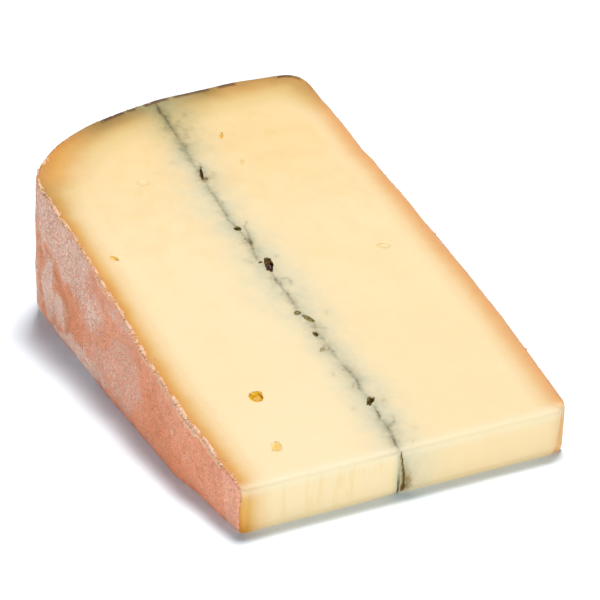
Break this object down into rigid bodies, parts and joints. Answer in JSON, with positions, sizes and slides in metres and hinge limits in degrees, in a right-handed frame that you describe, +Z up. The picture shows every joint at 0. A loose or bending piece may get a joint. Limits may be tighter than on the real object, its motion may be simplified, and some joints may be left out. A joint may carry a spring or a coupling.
{
  "type": "morbier cheese wedge",
  "caption": "Wedge of pressed cheese lying on its cut face, with a thin dark ash layer running through its pale paste and a dusty pink rind round the outside.",
  "frame": {"origin": "middle of the bounding box at its foot, on the cut face that the wedge lies on", "axes": "+Z up; +Y from the cut tip to the rim; +X across the wheel's height, towards the flank at the picture's right"},
  "size_m": [0.0768, 0.126, 0.0396],
  "materials": {
    "paste": "soft satin pale paste with a dusty salmon pink rind",
    "ash": "matt dark olive grey"
  },
  "bodies": {
    "root": {"paste_left": "paste", "paste_right": "paste", "ash_layer": "ash"}
  },
  "joints": []
}
